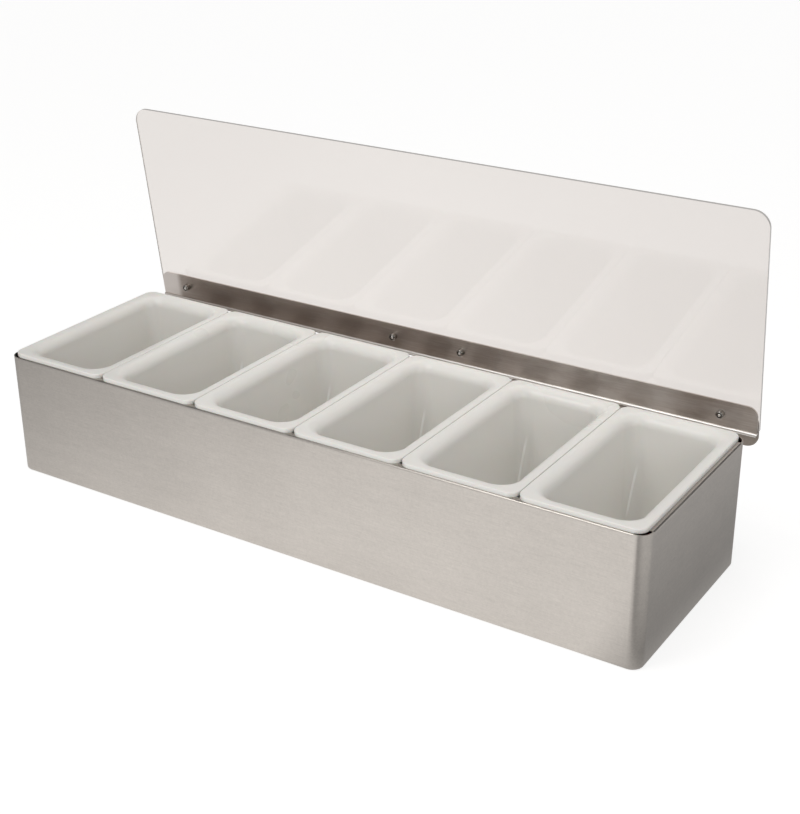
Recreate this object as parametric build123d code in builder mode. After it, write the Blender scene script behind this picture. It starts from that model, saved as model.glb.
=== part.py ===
# Bar garnish tray: a brushed steel box with six lift-out white pots and a hinged clear lid.
# Millimetres. X runs left to right, Y front to back, Z up.
# The origin is the centre of the box's underside. The lid is modelled standing open on its stop.
from build123d import *
import math
import os

os.makedirs("parts", exist_ok=True)

# Steel box
body_length = 500
body_width = 152
body_height = 91
body_sheet = 0.8
body_corner_radius = 8
body_base_radius = 2
rim_bend_radius = 1.5
long_rim_reach = 5
end_rim_reach = 6
rim_corner_gap = 9

# Pots
pot_count = 6
pot_row_end_gap = 2.8
pot_lip_gap = 0.4
pot_lip_inset = 1.5
pot_lip_width = 10
pot_lip_height = 3
pot_lip_corner_radius = 7
pot_lip_outer_round = 0.8
pot_lip_inner_round = 8
pot_lip_under_round = 4
pot_wall = 2.2
pot_floor = 2.4
pot_depth = 80
pot_taper = 4.5
pot_cavity_corner_radius = 11
pot_cavity_base_corner_radius = 11
pot_cavity_base_round = 6
pot_base_round = 4

# Hinge
hinge_end_inset = 20
knuckle_count = 23
knuckle_end_gap = 0.25
hinge_sheet = 1
pin_radius = 1.5
pin_clearance = 0.05
pin_head_radius = 2.4
pin_head_thickness = 1
axis_setback = 3.3
axis_drop = 8
lid_knuckle_clearance = 0.3
wall_leaf_height = 21
wall_leaf_corner_radius = 5
wall_leaf_top_gap = 0.4
stop_gap = 0.3
stop_reach = 12
stop_end_gap = 2

# Lid
lid_open_angle = 82.7
lid_setback = 16.8
lid_end_overhang = 1
lid_front_overhang = 0.6
lid_heel = 0.9
lid_thickness = 2
lid_corner_radius = 11
lid_heel_corner_radius = 2
strip_end_inset = 1
front_strip_top = 19.7
front_strip_web_gap = 0.05
front_strip_bead_radius = 1.35
front_strip_corner_radius = 7
front_strip_foot_corner_radius = 2
lid_leaf_top = 14.9
lid_leaf_tail = 12.1
lid_leaf_corner_radius = 9
lid_leaf_bend_radius = 2

# Blind rivets
rivet_shank_radius = 2
rivet_hole_clearance = 0.05
rivet_head_radius = 4
rivet_head_height = 1.3
rivet_head_round = 1.2
rivet_tail_radius = 2.7
rivet_tail_length = 3.4
rivet_tail_round = 0.7
rivet_mouth_gap = 0.55
stem_radius = 1.1
stem_clearance = 0.05
stem_button_radius = 1.2
stem_button_length = 1.4
stem_button_round = 0.7
stem_button_rise = 0.2
stem_end_drop = 0.3
lid_rivet_height = 10.2
lid_rivet_end_inset = 25
lid_rivet_inner_place = 28.7
wall_rivet_count = 6
wall_rivet_end_inset = 5
wall_rivet_drop = 15

# Length by which a cutting shape runs past what it cuts
overrun = 1

# Places that follow from the sizes
axis_y = body_width / 2 + axis_setback
axis_z = body_height - axis_drop
open_sine = math.sin(math.radians(lid_open_angle))
open_cosine = math.cos(math.radians(lid_open_angle))
pot_pitch = (body_length - 2 * pot_row_end_gap) / pot_count
hinge_length = body_length - 2 * hinge_end_inset
knuckle_pitch = hinge_length / knuckle_count
knuckle_length = knuckle_pitch - knuckle_end_gap
lid_knuckle_radius = axis_setback - lid_knuckle_clearance
lid_length = body_length + 2 * lid_end_overhang
lid_depth = axis_y + body_width / 2 + lid_front_overhang - lid_heel
front_strip_length = lid_length - 2 * strip_end_inset
front_strip_foot = lid_knuckle_radius - hinge_sheet - front_strip_web_gap
lid_leaf_length = front_strip_length
pin_hole_radius = pin_radius + pin_clearance
rivet_hole_radius = rivet_shank_radius + rivet_hole_clearance
wall_leaf_top = axis_z - lid_knuckle_radius - wall_leaf_top_gap
wall_leaf_middle = wall_leaf_top - wall_leaf_height / 2
wall_rivet_z = axis_z - wall_rivet_drop
knuckle_web_depth = axis_z - wall_leaf_top + hinge_sheet

# Planes of the open lid. hinge_plane holds the hinge axis and faces the front, lid_face is the
# panel's inner face, and section_plane cuts the hinge square to its axis: its x runs towards the
# front of the open lid and its y runs up the lid.
towards_front = (0, -open_sine, -open_cosine)
hinge_plane = Plane(origin=(0, axis_y, axis_z), x_dir=(1, 0, 0), z_dir=towards_front)
lid_face = hinge_plane.offset(-lid_setback)
lid_back = lid_face.offset(-lid_thickness)
section_plane = Plane(origin=(0, axis_y, axis_z), x_dir=towards_front, z_dir=(-1, 0, 0))
panel_front = -lid_setback
panel_back = panel_front - lid_thickness

# Rivet places along X
lid_rivet_outer_place = front_strip_length / 2 - lid_rivet_end_inset
wall_rivet_pitch = (hinge_length - 2 * wall_rivet_end_inset) / (wall_rivet_count - 1)
lid_rivet_places = [
    -lid_rivet_outer_place,
    -lid_rivet_inner_place,
    lid_rivet_inner_place,
    lid_rivet_outer_place,
]
wall_rivet_places = [(i - (wall_rivet_count - 1) / 2) * wall_rivet_pitch for i in range(wall_rivet_count)]

# Knuckles alternate along the hinge. The wall leaf has the first, the last and every second one.
knuckle_places = [(i - (knuckle_count - 1) / 2) * knuckle_pitch for i in range(knuckle_count)]
wall_knuckle_places = knuckle_places[0::2]
lid_knuckle_places = knuckle_places[1::2]


def save(piece, name):
    piece.part.label = name
    export_step(piece.part, f"parts/{name}.step")


def corner(sketch, place):
    return sketch.vertices().sort_by_distance(place)[0]


def shifted(plane, x):
    return Plane(origin=plane.origin + Vector(x, 0, 0), x_dir=plane.x_dir, z_dir=plane.z_dir)


# Steel box: one folded shell, open at the top, with a rim flange turned in along each straight side.
# A flange stops short of the rounded corners, where the wall stays plain. In a rim's plane x runs
# inwards from the wall's outer face and y runs up to the rim's top.
long_rim_run = body_length - 2 * rim_corner_gap
end_rim_run = body_width - 2 * rim_corner_gap
rims = []
for side in (-1, 1):
    long_rim_origin = (0, side * body_width / 2, body_height)
    end_rim_origin = (side * body_length / 2, 0, body_height)
    long_rim_plane = Plane(origin=long_rim_origin, x_dir=(0, -side, 0), z_dir=(-side, 0, 0))
    end_rim_plane = Plane(origin=end_rim_origin, x_dir=(-side, 0, 0), z_dir=(0, side, 0))
    rims.append((long_rim_plane, long_rim_run, long_rim_reach))
    rims.append((end_rim_plane, end_rim_run, end_rim_reach))
bend_depth = 2 * rim_bend_radius

with BuildPart() as body_shell:
    with BuildSketch():
        RectangleRounded(body_length, body_width, body_corner_radius)
    extrude(amount=body_height)
    fillet(body_shell.faces().sort_by(Axis.Z)[0].edges(), radius=body_base_radius)
    offset(amount=-body_sheet, openings=body_shell.faces().sort_by(Axis.Z)[-1])
    for rim_plane, run, reach in rims:
        with BuildSketch(rim_plane):
            with Locations((-overrun, overrun)):
                Rectangle(bend_depth + overrun, bend_depth + overrun, align=(Align.MIN, Align.MAX))
        extrude(amount=run / 2, both=True, mode=Mode.SUBTRACT)
        with BuildSketch(rim_plane) as profile:
            with BuildLine():
                Polyline(
                    (0, -bend_depth),
                    (0, 0),
                    (reach, 0),
                    (reach, -body_sheet),
                    (body_sheet, -body_sheet),
                    (body_sheet, -bend_depth),
                    close=True,
                )
            make_face()
            fillet(corner(profile, (0, 0)), radius=rim_bend_radius)
            fillet(corner(profile, (body_sheet, -body_sheet)), radius=rim_bend_radius - body_sheet)
        extrude(amount=run / 2, both=True)
    with BuildSketch(Plane.XZ.offset(-body_width / 2 - overrun)):
        with Locations(*[(x, wall_rivet_z) for x in wall_rivet_places]):
            Circle(rivet_hole_radius)
    extrude(amount=body_sheet + 2 * overrun, mode=Mode.SUBTRACT)
save(body_shell, "body_shell")


# Pots: each is a tapered tub hung by a wide lip on the box's rim. The lip rolls over into the cavity,
# and a round below it keeps the wall's thickness there.
pot_lip_span = pot_pitch - pot_lip_gap
pot_lip_run = body_width - 2 * pot_lip_inset
pot_mouth_span = pot_lip_span - 2 * pot_lip_width
pot_mouth_run = pot_lip_run - 2 * pot_lip_width
pot_base = body_height - pot_depth


def make_pot(centre_x):
    with BuildPart() as pot:
        with BuildSketch(Plane((centre_x, 0, body_height))):
            RectangleRounded(pot_lip_span, pot_lip_run, pot_lip_corner_radius)
        extrude(amount=pot_lip_height)
        with BuildSketch(Plane((centre_x, 0, body_height))):
            RectangleRounded(
                pot_mouth_span + 2 * pot_wall,
                pot_mouth_run + 2 * pot_wall,
                pot_cavity_corner_radius + pot_wall,
            )
        with BuildSketch(Plane((centre_x, 0, pot_base))):
            RectangleRounded(
                pot_mouth_span + 2 * pot_wall - 2 * pot_taper,
                pot_mouth_run + 2 * pot_wall - 2 * pot_taper,
                pot_cavity_base_corner_radius + pot_wall,
            )
        loft()
        fillet(pot.faces().sort_by(Axis.Z)[0].edges(), radius=pot_base_round)
        lip_underside = pot.faces().filter_by(Axis.Z).sort_by(Axis.Z)[1]
        fillet(lip_underside.inner_wires()[0].edges(), radius=pot_lip_under_round)
        with BuildSketch(Plane((centre_x, 0, body_height + pot_lip_height))):
            RectangleRounded(pot_mouth_span, pot_mouth_run, pot_cavity_corner_radius)
        with BuildSketch(Plane((centre_x, 0, pot_base + pot_floor))):
            RectangleRounded(
                pot_mouth_span - 2 * pot_taper,
                pot_mouth_run - 2 * pot_taper,
                pot_cavity_base_corner_radius,
            )
        loft(mode=Mode.SUBTRACT)
        cavity_floor = pot.faces().filter_by(Axis.Z).sort_by(Axis.Z)[1]
        fillet(cavity_floor.edges(), radius=pot_cavity_base_round)
        lip_top = pot.faces().filter_by(Axis.Z).sort_by(Axis.Z)[-1]
        fillet(lip_top.outer_wire().edges(), radius=pot_lip_outer_round)
        lip_top = pot.faces().filter_by(Axis.Z).sort_by(Axis.Z)[-1]
        fillet(lip_top.inner_wires()[0].edges(), radius=pot_lip_inner_round)
    return pot


for i in range(pot_count):
    save(make_pot((i - (pot_count - 1) / 2) * pot_pitch), f"pot_{i + 1}")


# Hinge leaf on the back wall: a plate, every second knuckle, and tabs turned out as the lid's stop
with BuildPart() as wall_leaf:
    with BuildSketch(Plane.XZ.offset(-body_width / 2)) as outline:
        with Locations((0, wall_leaf_middle)):
            Rectangle(hinge_length, wall_leaf_height)
        fillet(outline.vertices().group_by(Axis.Y)[0], radius=wall_leaf_corner_radius)
        with Locations(*[(x, wall_rivet_z) for x in wall_rivet_places]):
            Circle(rivet_hole_radius, mode=Mode.SUBTRACT)
    extrude(amount=-hinge_sheet)
    for x in wall_knuckle_places:
        with BuildSketch(Plane(origin=(x, axis_y, axis_z), x_dir=(0, 1, 0), z_dir=(1, 0, 0))):
            Circle(axis_setback)
            with Locations((-axis_setback, 0)):
                Rectangle(hinge_sheet, knuckle_web_depth, align=(Align.MIN, Align.MAX))
            Circle(pin_hole_radius, mode=Mode.SUBTRACT)
        extrude(amount=knuckle_length / 2, both=True)
    for x in lid_knuckle_places:
        with BuildSketch(shifted(section_plane, x)):
            with Locations((-stop_reach, -lid_knuckle_radius - stop_gap)):
                Rectangle(stop_reach + axis_setback, hinge_sheet, align=(Align.MIN, Align.MAX))
        extrude(amount=knuckle_length / 2 - stop_end_gap, both=True)
save(wall_leaf, "hinge_wall_leaf")


# Hinge pin: a plain rod with a small head peened on each end
with BuildPart() as hinge_pin:
    with BuildSketch(Plane(origin=(0, axis_y, axis_z), x_dir=(0, 1, 0), z_dir=(1, 0, 0))):
        Circle(pin_radius)
    extrude(amount=hinge_length / 2, both=True)
    for side in (-1, 1):
        head_origin = (side * hinge_length / 2, axis_y, axis_z)
        with BuildSketch(Plane(origin=head_origin, x_dir=(0, 1, 0), z_dir=(side, 0, 0))):
            Circle(pin_head_radius)
        extrude(amount=pin_head_thickness)
save(hinge_pin, "hinge_pin")


# Lid panel: one clear sheet with rounded free corners
with BuildPart() as lid_panel:
    with BuildSketch(lid_face) as outline:
        with Locations((0, lid_heel)):
            Rectangle(lid_length, lid_depth, align=(Align.CENTER, Align.MIN))
        fillet(outline.vertices().group_by(Axis.Y)[-1], radius=lid_corner_radius)
        fillet(outline.vertices().group_by(Axis.Y)[0], radius=lid_heel_corner_radius)
        with Locations(*[(x, lid_rivet_height) for x in lid_rivet_places]):
            Circle(rivet_hole_radius, mode=Mode.SUBTRACT)
    extrude(amount=-lid_thickness)
save(lid_panel, "lid_panel")


# Front strip: a clamp strip on the lid's inner face, its lower edge rolled forward as a bead
with BuildPart() as front_strip:
    strip_front = panel_front + hinge_sheet
    bead_middle = front_strip_bead_radius - front_strip_foot
    with BuildSketch(section_plane):
        with Locations((panel_front, bead_middle)):
            Rectangle(hinge_sheet, front_strip_top - bead_middle, align=(Align.MIN, Align.MIN))
        with Locations((strip_front, bead_middle)):
            Circle(front_strip_bead_radius)
    extrude(amount=front_strip_length / 2, both=True)
    with BuildSketch(lid_face.offset(hinge_sheet + front_strip_bead_radius)) as outline:
        with Locations((0, -front_strip_foot)):
            Rectangle(
                front_strip_length,
                front_strip_top + front_strip_foot,
                align=(Align.CENTER, Align.MIN),
            )
        fillet(outline.vertices().group_by(Axis.Y)[-1], radius=front_strip_corner_radius)
        fillet(outline.vertices().group_by(Axis.Y)[0], radius=front_strip_foot_corner_radius)
        with Locations(*[(x, lid_rivet_height) for x in lid_rivet_places]):
            Circle(rivet_hole_radius, mode=Mode.SUBTRACT)
    extrude(amount=-hinge_sheet - 2 * front_strip_bead_radius, mode=Mode.INTERSECT)
save(front_strip, "lid_front_strip")


# Hinge leaf on the lid: a plate behind the panel, a bend, and fingers rolled round the pin.
# Past the hinge's ends the plate runs on down as a rounded tail.
with BuildPart() as lid_leaf:
    leaf_back = panel_back - hinge_sheet
    web_under = -lid_knuckle_radius
    web_top = web_under + hinge_sheet
    plate_foot = web_under + 2 * lid_leaf_bend_radius
    with BuildSketch(lid_back) as outline:
        with Locations((0, -lid_leaf_tail)):
            Rectangle(lid_leaf_length, lid_leaf_top + lid_leaf_tail, align=(Align.CENTER, Align.MIN))
        fillet(outline.vertices(), radius=lid_leaf_corner_radius)
        with Locations((0, -lid_leaf_tail)):
            Rectangle(
                hinge_length,
                lid_leaf_tail + plate_foot,
                align=(Align.CENTER, Align.MIN),
                mode=Mode.SUBTRACT,
            )
        with Locations(*[(x, lid_rivet_height) for x in lid_rivet_places]):
            Circle(rivet_hole_radius, mode=Mode.SUBTRACT)
    extrude(amount=-hinge_sheet)
    with BuildSketch(section_plane) as profile:
        with BuildLine():
            Polyline(
                (0, web_under),
                (leaf_back, web_under),
                (leaf_back, plate_foot),
                (panel_back, plate_foot),
                (panel_back, web_top),
                (0, web_top),
                close=True,
            )
        make_face()
        fillet(corner(profile, (leaf_back, web_under)), radius=lid_leaf_bend_radius)
        fillet(corner(profile, (panel_back, web_top)), radius=lid_leaf_bend_radius - hinge_sheet)
        Circle(lid_knuckle_radius)
        Circle(pin_hole_radius, mode=Mode.SUBTRACT)
    extrude(amount=hinge_length / 2, both=True)
    gap_start = leaf_back + 2 * lid_leaf_bend_radius
    for x in wall_knuckle_places:
        with BuildSketch(shifted(section_plane, x)):
            with Locations((gap_start, 0)):
                Rectangle(
                    lid_knuckle_radius + overrun - gap_start,
                    2 * (lid_knuckle_radius + overrun),
                    align=(Align.MIN, Align.CENTER),
                )
        extrude(amount=knuckle_pitch - knuckle_length / 2, both=True, mode=Mode.SUBTRACT)
save(lid_leaf, "hinge_lid_leaf")


# Blind rivets. In a rivet's plane y runs outwards along its axis from the face under its head.
# The hollow body has a round head, and its tail is swollen behind the sheets that it grips.
# The stem that was pulled to set it stays inside, with its button in the tail's mouth.
def make_rivet_bodies(planes, grip):
    bore = stem_radius + stem_clearance
    mouth = stem_button_radius + rivet_mouth_gap
    tail_end = -grip - rivet_tail_length
    mouth_floor = tail_end + stem_button_length + stem_clearance
    with BuildPart() as bodies:
        for plane in planes:
            with BuildSketch(plane) as profile:
                with BuildLine():
                    Polyline(
                        (bore, rivet_head_height),
                        (rivet_head_radius, rivet_head_height),
                        (rivet_head_radius, 0),
                        (rivet_shank_radius, 0),
                        (rivet_shank_radius, -grip),
                        (rivet_tail_radius, -grip),
                        (rivet_tail_radius, tail_end),
                        (mouth, tail_end),
                        (mouth, mouth_floor),
                        (bore, mouth_floor),
                        close=True,
                    )
                make_face()
                fillet(corner(profile, (rivet_head_radius, rivet_head_height)), radius=rivet_head_round)
                fillet(corner(profile, (rivet_tail_radius, tail_end)), radius=rivet_tail_round)
            revolve(axis=Axis(plane.origin, plane.y_dir))
    return bodies


def make_rivet_stems(planes, grip):
    button_end = -grip - rivet_tail_length - stem_button_rise
    button_start = button_end + stem_button_length
    with BuildPart() as stems:
        for plane in planes:
            with BuildSketch(plane) as profile:
                with BuildLine():
                    Polyline(
                        (0, rivet_head_height - stem_end_drop),
                        (stem_radius, rivet_head_height - stem_end_drop),
                        (stem_radius, button_start),
                        (stem_button_radius, button_start),
                        (stem_button_radius, button_end),
                        (0, button_end),
                        close=True,
                    )
                make_face()
                fillet(corner(profile, (stem_button_radius, button_end)), radius=stem_button_round)
            revolve(axis=Axis(plane.origin, plane.y_dir))
    return stems


lid_grip = lid_thickness + 2 * hinge_sheet
wall_grip = body_sheet + hinge_sheet
lid_rivet_planes = []
for x in lid_rivet_places:
    head_seat = hinge_plane.from_local_coords((x, lid_rivet_height, panel_back - hinge_sheet))
    lid_rivet_planes.append(Plane(origin=head_seat, x_dir=(1, 0, 0), z_dir=hinge_plane.y_dir))
wall_rivet_planes = []
for x in wall_rivet_places:
    head_seat = (x, body_width / 2 + hinge_sheet, wall_rivet_z)
    wall_rivet_planes.append(Plane(origin=head_seat, x_dir=(1, 0, 0), z_dir=(0, 0, 1)))

save(make_rivet_bodies(lid_rivet_planes, lid_grip), "lid_rivets")
save(make_rivet_stems(lid_rivet_planes, lid_grip), "lid_rivet_stems")
save(make_rivet_bodies(wall_rivet_planes, wall_grip), "wall_rivets")
save(make_rivet_stems(wall_rivet_planes, wall_grip), "wall_rivet_stems")
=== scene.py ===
"""Bar garnish tray: a brushed steel box with six white pots and a clear hinged lid.

The CAD frame holds every shape. This script gives it materials, a floor, light and a camera.
Metres, X to the right, Y to the back, Z up.
"""
import math

import bpy
from mathutils import Matrix, Vector


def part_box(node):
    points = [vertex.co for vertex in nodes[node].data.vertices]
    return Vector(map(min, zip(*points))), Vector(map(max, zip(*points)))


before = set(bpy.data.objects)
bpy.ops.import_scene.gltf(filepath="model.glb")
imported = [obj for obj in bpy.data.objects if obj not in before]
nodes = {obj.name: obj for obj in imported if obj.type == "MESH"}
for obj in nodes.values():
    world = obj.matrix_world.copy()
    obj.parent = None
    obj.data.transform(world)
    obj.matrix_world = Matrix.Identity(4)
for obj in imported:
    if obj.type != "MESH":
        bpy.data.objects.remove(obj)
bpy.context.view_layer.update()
pot_low, pot_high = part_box("pot_1")
strip_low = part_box("lid_front_strip")[0]

POT_NODES = [f"pot_{i}" for i in range(1, 7)]
HINGE_STEEL_NODES = ["hinge_lid_leaf", "hinge_wall_leaf"]
RIVET_NODES = ["hinge_pin", "wall_rivets", "lid_rivets"]
STEM_NODES = ["wall_rivet_stems", "lid_rivet_stems"]

# Camera: the photograph's place, direction and lens. The sensor's width lies along the long side.
CAMERA_PLACE = (0.5347, -0.7716, 0.5151)
CAMERA_AZIMUTH = math.radians(32.855)
CAMERA_ELEVATION = math.radians(24.826)
CAMERA_ROLL = math.radians(-0.404)
CAMERA_LENS = 67.04
CAMERA_SENSOR = 36.0
CAMERA_NEAR = 0.05
CAMERA_FAR = 50.0

# Colours, linear
WHITE = (1.0, 1.0, 1.0)
BLACK = (0.0, 0.0, 0.0)
STEEL_COLOUR = (0.555, 0.518, 0.48)
HINGE_COLOUR = (0.50, 0.455, 0.42)
# The lid strip's colours are painted reflection: dark along its middle, light to the right and at its
# left tip
STRIP_PAINTED_DARK = (0.45, 0.385, 0.345)
STRIP_PAINTED_LIGHT = (0.81, 0.775, 0.74)
STRIP_TIP_PAINTED_LIGHT = (0.82, 0.755, 0.71)
# The bead's colour: its bright end is a painted highlight
BEAD_DULL = (0.60, 0.55, 0.51)
BEAD_PAINTED_HIGHLIGHT = (0.97, 0.95, 0.93)
RIVET_COLOUR = (0.38, 0.36, 0.335)
STEM_COLOUR = (0.90, 0.88, 0.85)
POT_COLOUR = (0.835, 0.82, 0.785)
# Colour of the painted highlight streak in the pots' corners
PAINTED_HIGHLIGHT_COLOUR = (0.99, 0.985, 0.97)
LID_COLOUR = (0.835, 0.797, 0.768)
# The lid's right-hand colour is painted shade
LID_PAINTED_SHADE_RIGHT = (0.778, 0.74, 0.713)
LID_EDGE_COLOUR = (0.56, 0.54, 0.52)
FLOOR_COLOUR = (0.35, 0.347, 0.343)
LAMP_COLOUR = (1.0, 0.985, 0.96)

# Roughness, least and most
STEEL_ROUGHNESS = (0.28, 0.36)
HINGE_ROUGHNESS = (0.36, 0.44)
STRIP_ROUGHNESS = (0.35, 0.45)
RIVET_ROUGHNESS = (0.11, 0.25)
STEM_ROUGHNESS = (0.10, 0.24)
POT_ROUGHNESS = (0.26, 0.36)
LID_ROUGHNESS = (0.0, 0.03)
LID_EDGE_ROUGHNESS = 0.25

# How far a colour varies by noise, as the factors of its darkest and its lightest shade
STEEL_SHADES = (0.87, 1.13)
RIVET_SHADES = (0.85, 1.1)
POT_SHADES = (0.97, 1.02)
LID_HAZE_SHADES = (0.985, 1.0)
LID_EDGE_SHADES = (0.92, 1.08)

# Bumps: strength, and height in metres
STEEL_BUMP = (0.35, 0.00006)
STRIP_BUMP = (0.3, 0.00004)
RIVET_BUMP = (0.3, 0.00005)
POT_RIPPLE_BUMP = (0.12, 0.0006)
POT_SKIN_BUMP = (0.08, 0.00005)

# A name that ends in STRETCH holds a value before, a value after, and the two places between which
# the one turns into the other. NOISE_MIDDLE and the like are the noise's values that count as ends.
NOISE_MIDDLE = (0.3, 0.7)
STEEL_TONE_MIDDLE = (0.35, 0.65)
LID_HAZE_MIDDLE = (0.35, 0.7)

# Sheet steel: noise scales along and across the grain, and what each noise adds to the tone. A face
# is an end face where its normal has more than the limit along X.
FINE_GRAIN_SCALES = (70.0, 1500.0)
WIDE_GRAIN_SCALES = (6.0, 130.0)
STEEL_CLOUD_SCALE = 12.0
STEEL_SPECKLE_SCALE = 650.0
FINE_SHARE = 0.75
WIDE_SHARE = 0.25
GRAIN_SHARE = 0.5
CLOUD_SHARE = 0.2
SPECKLE_SHARE = 0.3
END_FACE_LIMIT = 0.7
STEEL_ANISOTROPY = 0.6
STRIP_ANISOTROPY = 0.5
QUARTER_TURN = 0.25
RIVET_SPECKLE_SCALE = 900.0

# Lid strip: noise scales along X, Y and Z, the left tip's length, the heights above its lower edge
# between which its foot ends and of its bead, and tones of painted reflection and painted highlight
# that change along X or with that height
STRIP_CLOUD_SCALES = (26.0, 60.0, 60.0)
STRIP_GRAIN_SCALES = (60.0, 1200.0, 1200.0)
STRIP_GRAIN_STRENGTH = 0.8
STRIP_TIP_LENGTH = 0.0145
STRIP_TIP_BLEND = 0.005
STRIP_FOOT_LOW = 0.005
STRIP_FOOT_HIGH = 0.020
BEAD_HEIGHT = 0.00274
BEAD_BLEND = 0.0002
STRIP_TIP = strip_low.x + STRIP_TIP_LENGTH
STRIP_TIP_STRETCH = (1.0, 0.0, STRIP_TIP, STRIP_TIP + STRIP_TIP_BLEND)
STRIP_RISE_STRETCH = (0.0, 0.75, -0.02, 0.14)
STRIP_DULL_STRETCH = (0.0, -0.45, 0.17, 0.21)
STRIP_LOWER_STRETCH = (0.35, -0.15, strip_low.z + STRIP_FOOT_LOW, strip_low.z + STRIP_FOOT_HIGH)
STRIP_LOWER_RIGHT_STRETCH = (0.0, 1.0, 0.0, 0.15)
STRIP_CLOUDY_STRETCH = (0.4, 1.2, 0.0, 0.12)
BEAD_HIGHLIGHT_STRETCH = (0.0, 1.3, -0.2, 0.1)
BEAD_TOP = strip_low.z + BEAD_HEIGHT
BEAD_STRETCH = (1.0, 0.0, BEAD_TOP - BEAD_BLEND, BEAD_TOP)

# Pots: the walls of the cavity lean in by the taper, from the lip's top down to the cavity's floor
POT_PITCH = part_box("pot_2")[0].x - pot_low.x
POT_LIP_WIDTH = 0.010
POT_TAPER = 0.0045
POT_FLOOR_SHEET = 0.0024
POT_INSET_STRETCH = (POT_TAPER, 0.0, pot_low.z + POT_FLOOR_SHEET, pot_high.z)
POT_CORNER_RADIUS = 0.011
POT_CLOUD_SCALE = 9.0
POT_RIPPLE_SCALE = 60.0
POT_SKIN_SCALE = 1400.0
POT_REFRACTION = 1.5
POT_SUBSURFACE_SHARE = 0.08
POT_SUBSURFACE_DEPTH = 0.003

# The painted highlight: a pale streak, standing in for a reflection, in each pot's rear left corner. It
# slants across the corner on its way down.
STREAK_HALF_WIDTH = 0.0007
STREAK_BLEND = 0.0007
STREAK_SIDE_STRETCH = (1.0, 0.0, STREAK_HALF_WIDTH, STREAK_HALF_WIDTH + STREAK_BLEND)
STREAK_REACH = 0.012
STREAK_SLANT_STRETCH = (0.0046, -0.0046, 0.060, 0.024)
STREAK_FOOT_STRETCH = (0.0, 1.0, 0.022, 0.028)
STREAK_HEAD_STRETCH = (1.0, 0.0, 0.052, 0.061)

# Lid: it leans back, and its tint darkens along X towards the right as painted shade. On a cut edge the
# normal has less than the limit of the lid's own normal.
LID_LEAN = math.radians(7.3)
LID_NORMAL = (0.0, -math.cos(LID_LEAN), -math.sin(LID_LEAN))
LID_EDGE_LIMIT = 0.6
LID_SHADE_STRETCH = (0.0, 1.0, 0.0, 0.25)
LID_HAZE_SCALE = 22.0
LID_EDGE_HAZE_SCALE = 90.0
LID_REFRACTION = 1.49

# Floor: its glow, and its tones in the metal, as shares of white
FLOOR_REACH = 6.0
FLOOR_GLOW = 0.77
FLOOR_LEFT_STRETCH = (0.44, 1.0, -0.5, -0.05)
FLOOR_DROP_STRETCH = (1.0, 0.315, 0.21, 0.265)
FLOOR_RISE_STRETCH = (0.0, 0.42, 0.265, 0.43)

# Sky: its strength by the cosine between a direction and the front, for diffuse light and in metal
FRONT = (-0.25, -0.97, 0.0)
AMBIENT_STRETCH = (0.27, 0.50, -0.5, 1.0)
MIRRORED_STRETCH = (0.13, 0.8, 0.6, 1.0)

# Square lamps: place, target, side and watts
RIGHT_LAMP = ((0.9, -0.5, 0.55), (0.15, 0.0, 0.08), 0.5, 1.8)
KEY_LAMP = ((-0.18, -0.55, 0.9), (0.0, 0.0, 0.08), 0.4, 2.0)
SUN_DIRECTION = (0.1, 0.1, -1.0)
SUN_STRENGTH = 0.7
SUN_SPREAD = math.radians(35.0)


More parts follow.
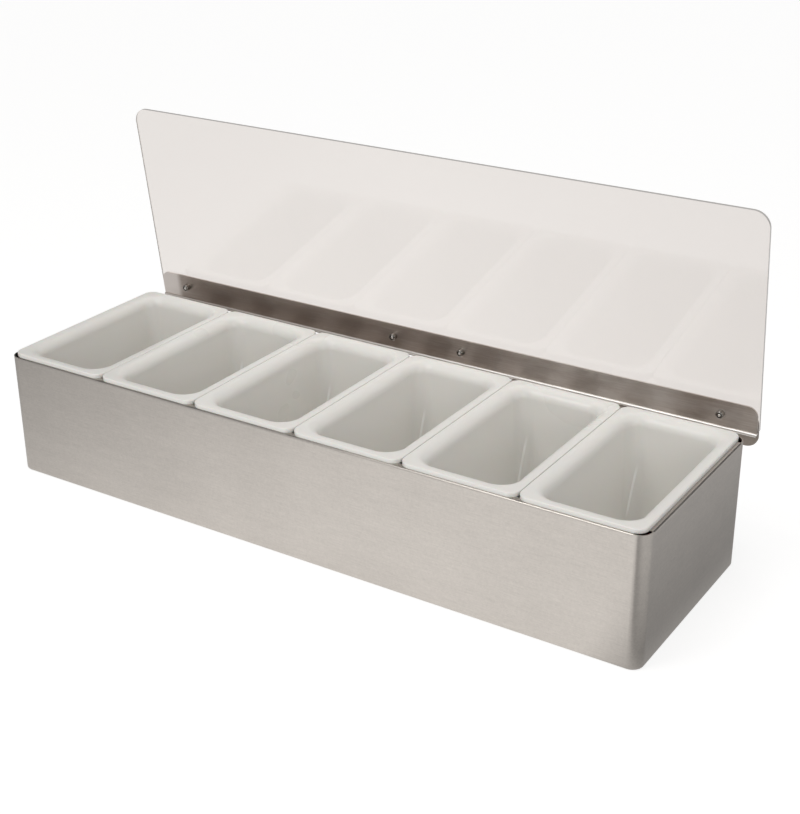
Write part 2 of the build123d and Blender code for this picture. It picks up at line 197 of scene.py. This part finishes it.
class Nodes:
    """A short way to write the node tree of a material or a world."""

    # The Mix node's sockets for each data type: first, second and result
    MIX_SOCKETS = {"FLOAT": (2, 3, 0), "RGBA": (6, 7, 2)}

    def __init__(self, owner):
        owner.use_nodes = True
        self.owner = owner
        self.tree = owner.node_tree
        self.tree.nodes.clear()

    def feed(self, socket, value):
        """Links another node's output to the socket, or sets a number, vector or colour there."""
        if isinstance(value, bpy.types.NodeSocket):
            self.tree.links.new(value, socket)
        elif socket.type == "RGBA":
            socket.default_value = (*value, 1.0)
        else:
            socket.default_value = value

    def add(self, kind, inputs=(), **settings):
        node = self.tree.nodes.new(kind)
        for name, value in settings.items():
            setattr(node, name, value)
        for name, value in dict(inputs).items():
            self.feed(node.inputs[name], value)
        return node

    def place(self):
        """Where a point of the surface lies at rest."""
        return self.add("ShaderNodeTexCoord").outputs["Object"]

    def axes(self, vector):
        outputs = self.add("ShaderNodeSeparateXYZ", {"Vector": vector}).outputs
        return outputs["X"], outputs["Y"], outputs["Z"]

    def stretched(self, vector, scales):
        return self.add("ShaderNodeMapping", {"Vector": vector, "Scale": scales}).outputs["Vector"]

    def noise(self, vector, scale=1.0, detail=2.0, roughness=0.5):
        inputs = {"Vector": vector, "Scale": scale, "Detail": detail, "Roughness": roughness}
        return self.add("ShaderNodeTexNoise", inputs).outputs["Fac"]

    def ranged(self, value, before, after, start=0.0, end=1.0):
        """Turns from before, where the value is at start, to after, where it is at end."""
        inputs = {"Value": value, "From Min": start, "From Max": end, "To Min": before, "To Max": after}
        return self.add("ShaderNodeMapRange", inputs).outputs["Result"]

    def math(self, operation, *values):
        return self.add("ShaderNodeMath", dict(enumerate(values)), operation=operation).outputs["Value"]

    def vector_math(self, operation, inputs, output="Vector"):
        return self.add("ShaderNodeVectorMath", inputs, operation=operation).outputs[output]

    def sum(self, *terms):
        total = terms[0]
        for term in terms[1:]:
            total = self.math("ADD", total, term)
        return total

    def product(self, *factors):
        total = factors[0]
        for factor in factors[1:]:
            total = self.math("MULTIPLY", total, factor)
        return total

    def mixed(self, factor, first, second, kind="RGBA"):
        """The first colour or value where the factor is 0, the second where it is 1."""
        first_socket, second_socket, result = self.MIX_SOCKETS[kind]
        inputs = {0: factor, first_socket: first, second_socket: second}
        return self.add("ShaderNodeMix", inputs, data_type=kind).outputs[result]

    def mixed_shader(self, factor, first, second):
        return self.add("ShaderNodeMixShader", {0: factor, 1: first, 2: second}).outputs["Shader"]

    def bump(self, height, strength, distance, normal=None):
        inputs = {"Height": height, "Strength": strength, "Distance": distance}
        if normal is not None:
            inputs["Normal"] = normal
        return self.add("ShaderNodeBump", inputs).outputs["Normal"]

    def principled(self, inputs):
        return self.add("ShaderNodeBsdfPrincipled", inputs).outputs["BSDF"]

    def finish(self, shader, kind="ShaderNodeOutputMaterial"):
        self.add(kind, {"Surface": shader})
        return self.owner


def new_material(name):
    return Nodes(bpy.data.materials.new(name))


def varied(m, factor, colour, shades):
    """The colour in its darkest shade where the factor is 0, and in its lightest where it is 1."""
    darkest, lightest = (tuple(channel * shade for channel in colour) for shade in shades)
    return m.mixed(factor, darkest, lightest)


def brushed_metal(m, colour, roughness, normal, anisotropy):
    tangent = m.add("ShaderNodeTangent", direction_type="RADIAL", axis="Z").outputs["Tangent"]
    return m.principled({
        "Base Color": colour,
        "Metallic": 1.0,
        "Roughness": roughness,
        "Normal": normal,
        "Anisotropic": anisotropy,
        "Anisotropic Rotation": QUARTER_TURN,
        "Tangent": tangent,
    })


def brushed_grain(m, place, on_end, scales, detail, roughness=0.5):
    """Noise drawn out along X, or along Y on the end faces."""
    along, across = scales
    along_x = m.noise(m.stretched(place, (along, across, across)), detail=detail, roughness=roughness)
    along_y = m.noise(m.stretched(place, (across, along, across)), detail=detail, roughness=roughness)
    return m.mixed(on_end, along_x, along_y, "FLOAT")


def brushed_steel(name, colour, roughness):
    """Sheet steel with short fine grain, wider bands, clouds and a fine speckle."""
    m = new_material(name)
    place = m.place()
    normal_x = m.axes(m.add("ShaderNodeNewGeometry").outputs["Normal"])[0]
    on_end = m.math("GREATER_THAN", m.math("ABSOLUTE", normal_x), END_FACE_LIMIT)
    fine = brushed_grain(m, place, on_end, FINE_GRAIN_SCALES, detail=4.0, roughness=0.6)
    wide = brushed_grain(m, place, on_end, WIDE_GRAIN_SCALES, detail=2.0)
    clouds = m.noise(place, STEEL_CLOUD_SCALE, detail=3.0, roughness=0.55)
    speckle = m.noise(place, STEEL_SPECKLE_SCALE, detail=3.0, roughness=0.7)
    grain = m.sum(m.product(fine, FINE_SHARE), m.product(wide, WIDE_SHARE))
    grain_tone = m.product(grain, GRAIN_SHARE)
    tone = m.sum(grain_tone, m.product(clouds, CLOUD_SHARE), m.product(speckle, SPECKLE_SHARE))
    tinted = varied(m, m.ranged(tone, 0.0, 1.0, *STEEL_TONE_MIDDLE), colour, STEEL_SHADES)
    rough = m.ranged(grain, *roughness, *NOISE_MIDDLE)
    return m.finish(brushed_metal(m, tinted, rough, m.bump(grain, *STEEL_BUMP), STEEL_ANISOTROPY))


def painted_strip_reflection(m, x, z):
    """Painted reflection: 0 on the dark left half of the strip. It rises to the right, most near the
    lower edge, and drops again at the right end."""
    rise = m.ranged(x, *STRIP_RISE_STRETCH)
    lower = m.product(m.ranged(z, *STRIP_LOWER_STRETCH), m.ranged(x, *STRIP_LOWER_RIGHT_STRETCH))
    return m.sum(rise, lower, m.ranged(x, *STRIP_DULL_STRETCH))


def strip_steel(name):
    """The lid's clamp strip: finely grained and cloudy, with painted reflection that makes it light at
    its left tip, dark along the left half and lighter to the right. The bead on its lower edge carries a
    painted highlight that grows brighter to the right."""
    m = new_material(name)
    place = m.place()
    x, _, z = m.axes(place)
    clouds = m.noise(m.stretched(place, STRIP_CLOUD_SCALES), detail=4.0, roughness=0.65)
    grain = m.noise(m.stretched(place, STRIP_GRAIN_SCALES), detail=3.0, roughness=0.6)
    cloudy = m.product(m.math("SUBTRACT", clouds, 0.5), m.ranged(x, *STRIP_CLOUDY_STRETCH))
    grainy = m.product(m.math("SUBTRACT", grain, 0.5), STRIP_GRAIN_STRENGTH)
    # Painted reflection: the strip's tone changes along X and near its lower edge
    body = m.mixed(m.sum(painted_strip_reflection(m, x, z), m.sum(cloudy, grainy)), STRIP_PAINTED_DARK, STRIP_PAINTED_LIGHT)
    # Painted reflection: the strip's left tip is lighter
    plate = m.mixed(m.ranged(x, *STRIP_TIP_STRETCH), body, STRIP_TIP_PAINTED_LIGHT)
    # Painted highlight on the bead, brighter to the right
    bead = m.mixed(m.sum(m.ranged(x, *BEAD_HIGHLIGHT_STRETCH), cloudy), BEAD_DULL, BEAD_PAINTED_HIGHLIGHT)
    colour = m.mixed(m.ranged(z, *BEAD_STRETCH), plate, bead)
    rough = m.ranged(clouds, *STRIP_ROUGHNESS, *NOISE_MIDDLE)
    return m.finish(brushed_metal(m, colour, rough, m.bump(grain, *STRIP_BUMP), STRIP_ANISOTROPY))


def rivet_metal(name, colour, roughness):
    """Plain metal with a fine speckle."""
    m = new_material(name)
    speckle = m.noise(m.place(), RIVET_SPECKLE_SCALE, detail=3.0)
    return m.finish(m.principled({
        "Base Color": varied(m, speckle, colour, RIVET_SHADES),
        "Metallic": 1.0,
        "Roughness": m.ranged(speckle, *roughness),
        "Normal": m.bump(speckle, *RIVET_BUMP),
    }))


def in_corner(m, from_left, from_rear):
    """1 on the cavity's side of a pot's rear left corner, else 0."""
    aside = m.math("SUBTRACT", POT_CORNER_RADIUS, from_left)
    behind = m.math("SUBTRACT", POT_CORNER_RADIUS, from_rear)
    square = m.sum(m.product(aside, aside), m.product(behind, behind))
    in_cavity = m.math("LESS_THAN", square, STREAK_REACH ** 2)
    in_quarter = m.product(m.math("GREATER_THAN", aside, 0.0), m.math("GREATER_THAN", behind, 0.0))
    return m.product(in_cavity, in_quarter)


def corner_painted_highlight(m, place):
    """1 on the painted highlight, a thin pale line that slants down each pot's rear left corner, else 0.
    """
    x, y, z = m.axes(place)
    in_pot = m.math("MODULO", m.math("SUBTRACT", x, pot_low.x), POT_PITCH)
    inset = m.ranged(z, *POT_INSET_STRETCH)
    from_left = m.math("SUBTRACT", m.math("SUBTRACT", in_pot, POT_LIP_WIDTH), inset)
    from_rear = m.math("SUBTRACT", m.math("SUBTRACT", pot_high.y - POT_LIP_WIDTH, y), inset)
    across = m.math("SUBTRACT", from_left, from_rear)
    off_line = m.math("ABSOLUTE", m.math("SUBTRACT", across, m.ranged(z, *STREAK_SLANT_STRETCH)))
    line = m.ranged(off_line, *STREAK_SIDE_STRETCH)
    faded = m.product(m.ranged(z, *STREAK_FOOT_STRETCH), m.ranged(z, *STREAK_HEAD_STRETCH))
    return m.product(line, in_corner(m, from_left, from_rear), faded)


def white_plastic(name, colour):
    """Moulded plastic: nearly even colour, soft gloss, a very faint ripple and a painted highlight
    streak in each pot's rear left corner.
    """
    m = new_material(name)
    place = m.place()
    clouds = m.noise(place, POT_CLOUD_SCALE, detail=3.0)
    cloudy = varied(m, clouds, colour, POT_SHADES)
    rippled = m.bump(m.noise(place, POT_RIPPLE_SCALE), *POT_RIPPLE_BUMP)
    return m.finish(m.principled({
        # The base colour carries a painted highlight: a pale streak in each pot's rear left corner
        "Base Color": m.mixed(corner_painted_highlight(m, place), cloudy, PAINTED_HIGHLIGHT_COLOUR),
        "Roughness": m.ranged(clouds, *POT_ROUGHNESS, *NOISE_MIDDLE),
        "Normal": m.bump(m.noise(place, POT_SKIN_SCALE), *POT_SKIN_BUMP, rippled),
        "IOR": POT_REFRACTION,
        "Subsurface Weight": POT_SUBSURFACE_SHARE,
        "Subsurface Scale": POT_SUBSURFACE_DEPTH,
    }))


def on_edge(m):
    """1 on the sheet's cut edges, whose normal lies in the sheet's own plane, else 0."""
    normal = m.add("ShaderNodeTexCoord").outputs["Normal"]
    across = m.vector_math("DOT_PRODUCT", {0: normal, 1: LID_NORMAL}, "Value")
    return m.math("LESS_THAN", m.math("ABSOLUTE", across), LID_EDGE_LIMIT)


def clear_sheet(name, colour, shaded_right_colour, edge_colour):
    """Clear plastic sheet with a faint warm grey tint, painted shade that darkens it to the right, and
    greyer cut edges. Lamps shine through it.
    """
    m = new_material(name)
    place = m.place()
    haze = m.noise(place, LID_HAZE_SCALE, detail=3.0)
    # Painted shade: the tint darkens towards the right
    tint = m.mixed(m.ranged(m.axes(place)[0], *LID_SHADE_STRETCH), colour, shaded_right_colour)
    sheet = m.principled({
        "Base Color": m.vector_math("SCALE", {0: tint, "Scale": m.ranged(haze, *LID_HAZE_SHADES)}),
        "Roughness": m.ranged(haze, *LID_ROUGHNESS, *LID_HAZE_MIDDLE),
        "IOR": LID_REFRACTION,
        "Transmission Weight": 1.0,
    })
    edge = m.principled({
        "Base Color": varied(m, m.noise(place, LID_EDGE_HAZE_SCALE), edge_colour, LID_EDGE_SHADES),
        "Roughness": LID_EDGE_ROUGHNESS,
    })
    is_shadow = m.add("ShaderNodeLightPath").outputs["Is Shadow Ray"]
    see_through = m.add("ShaderNodeBsdfTransparent").outputs["BSDF"]
    return m.finish(m.mixed_shader(on_edge(m), m.mixed_shader(is_shadow, sheet, see_through), edge))


def dress(names, material):
    for name in names:
        mesh = nodes[name].data
        mesh.materials.clear()
        mesh.materials.append(material)


def dress_all():
    dress(["body_shell"], brushed_steel("box_steel", STEEL_COLOUR, STEEL_ROUGHNESS))
    dress(HINGE_STEEL_NODES, brushed_steel("hinge_steel", HINGE_COLOUR, HINGE_ROUGHNESS))
    dress(["lid_front_strip"], strip_steel("strip_steel"))
    dress(RIVET_NODES, rivet_metal("rivet_metal", RIVET_COLOUR, RIVET_ROUGHNESS))
    dress(STEM_NODES, rivet_metal("stem_metal", STEM_COLOUR, STEM_ROUGHNESS))
    dress(POT_NODES, white_plastic("pot_plastic", POT_COLOUR))
    dress(["lid_panel"], clear_sheet("clear_lid", LID_COLOUR, LID_PAINTED_SHADE_RIGHT, LID_EDGE_COLOUR))


def seen_directly(m):
    """1 for rays from the camera or through glass, else 0."""
    path = m.add("ShaderNodeLightPath").outputs
    return m.math("MAXIMUM", path["Is Camera Ray"], path["Is Transmission Ray"])


def off_a_mirror(m):
    """1 for rays that metal or gloss sent back, else 0. Rays through glass can count as glossy too."""
    path = m.add("ShaderNodeLightPath").outputs
    return m.product(path["Is Glossy Ray"], m.math("SUBTRACT", 1.0, path["Is Transmission Ray"]))


def floor_material():
    """White floor. In the metal it looks darker to the right of the tray and far to its left."""
    m = new_material("studio_floor")
    x = m.axes(m.add("ShaderNodeNewGeometry").outputs["Position"])[0]
    right = m.sum(m.ranged(x, *FLOOR_DROP_STRETCH), m.ranged(x, *FLOOR_RISE_STRETCH))
    side_tone = m.product(m.ranged(x, *FLOOR_LEFT_STRETCH), right)
    lost = m.product(off_a_mirror(m), m.math("SUBTRACT", 1.0, side_tone))
    colour = m.mixed(m.math("SUBTRACT", 1.0, lost), BLACK, FLOOR_COLOUR)
    diffuse = m.add("ShaderNodeBsdfDiffuse", {"Color": colour}).outputs["BSDF"]
    strength = m.product(m.math("MAXIMUM", seen_directly(m), side_tone), FLOOR_GLOW)
    glow = m.add("ShaderNodeEmission", {"Strength": strength}).outputs["Emission"]
    return m.finish(m.add("ShaderNodeAddShader", {0: diffuse, 1: glow}).outputs["Shader"])


def make_floor():
    mesh = bpy.data.meshes.new("studio_floor")
    r = FLOOR_REACH
    mesh.from_pydata([(-r, -r, 0), (r, -r, 0), (r, r, 0), (-r, r, 0)], [], [(0, 1, 2, 3)])
    mesh.materials.append(floor_material())
    floor = bpy.data.objects.new("studio_floor", mesh)
    bpy.context.scene.collection.objects.link(floor)


def make_world():
    """White to the camera, a soft sky for diffuse light, and a bright front in a dark room for metal."""
    world = bpy.data.worlds.new("studio")
    bpy.context.scene.world = world
    m = Nodes(world)
    direction = m.add("ShaderNodeTexCoord").outputs["Generated"]
    flat = m.vector_math("MULTIPLY", {0: direction, 1: (1.0, 1.0, 0.0)})
    level = m.vector_math("NORMALIZE", {0: flat})
    facing = m.vector_math("DOT_PRODUCT", {0: level, 1: FRONT}, "Value")
    direct = seen_directly(m)
    glossy = off_a_mirror(m)
    other = m.math("SUBTRACT", 1.0, m.math("MAXIMUM", direct, glossy))
    mirrored = m.product(glossy, m.ranged(facing, *MIRRORED_STRETCH))
    ambient = m.product(other, m.ranged(facing, *AMBIENT_STRETCH))
    strength = m.math("MAXIMUM", direct, m.sum(mirrored, ambient))
    background = m.add("ShaderNodeBackground", {"Color": WHITE, "Strength": strength})
    m.finish(background.outputs["Background"], "ShaderNodeOutputWorld")


def hold_lamp(name, lamp, direction):
    holder = bpy.data.objects.new(name, lamp)
    holder.rotation_mode = "QUATERNION"
    holder.rotation_quaternion = direction.to_track_quat("-Z", "Y")
    bpy.context.scene.collection.objects.link(holder)
    return holder


def add_lamp(name, place, target, side, power):
    lamp = bpy.data.lights.new(name, "AREA")
    lamp.shape = "SQUARE"
    lamp.size = side
    lamp.energy = power
    lamp.color = LAMP_COLOUR
    holder = hold_lamp(name, lamp, Vector(target) - Vector(place))
    holder.location = place


def add_sun():
    """Soft light from above, which metal and gloss don't mirror."""
    sun = bpy.data.lights.new("top_sun", "SUN")
    sun.energy = SUN_STRENGTH
    sun.angle = SUN_SPREAD
    holder = hold_lamp("top_sun", sun, Vector(SUN_DIRECTION))
    holder.visible_glossy = False


def make_camera():
    back = Vector((
        math.sin(CAMERA_AZIMUTH) * math.cos(CAMERA_ELEVATION),
        -math.cos(CAMERA_AZIMUTH) * math.cos(CAMERA_ELEVATION),
        math.sin(CAMERA_ELEVATION),
    ))
    level_right = Vector((0.0, 0.0, 1.0)).cross(back).normalized()
    level_up = back.cross(level_right)
    right = level_right * math.cos(CAMERA_ROLL) + level_up * math.sin(CAMERA_ROLL)
    up = level_up * math.cos(CAMERA_ROLL) - level_right * math.sin(CAMERA_ROLL)
    data = bpy.data.cameras.new("camera")
    data.lens = CAMERA_LENS
    data.sensor_width = CAMERA_SENSOR
    data.clip_start = CAMERA_NEAR
    data.clip_end = CAMERA_FAR
    camera = bpy.data.objects.new("camera", data)
    turned = Matrix((right, up, back)).transposed().to_4x4()
    camera.matrix_world = Matrix.Translation(CAMERA_PLACE) @ turned
    bpy.context.scene.collection.objects.link(camera)
    bpy.context.scene.camera = camera


dress_all()
make_floor()
make_world()
add_lamp("right_lamp", *RIGHT_LAMP)
add_lamp("key_lamp", *KEY_LAMP)
add_sun()
make_camera()
bpy.context.scene.view_settings.view_transform = "Standard"
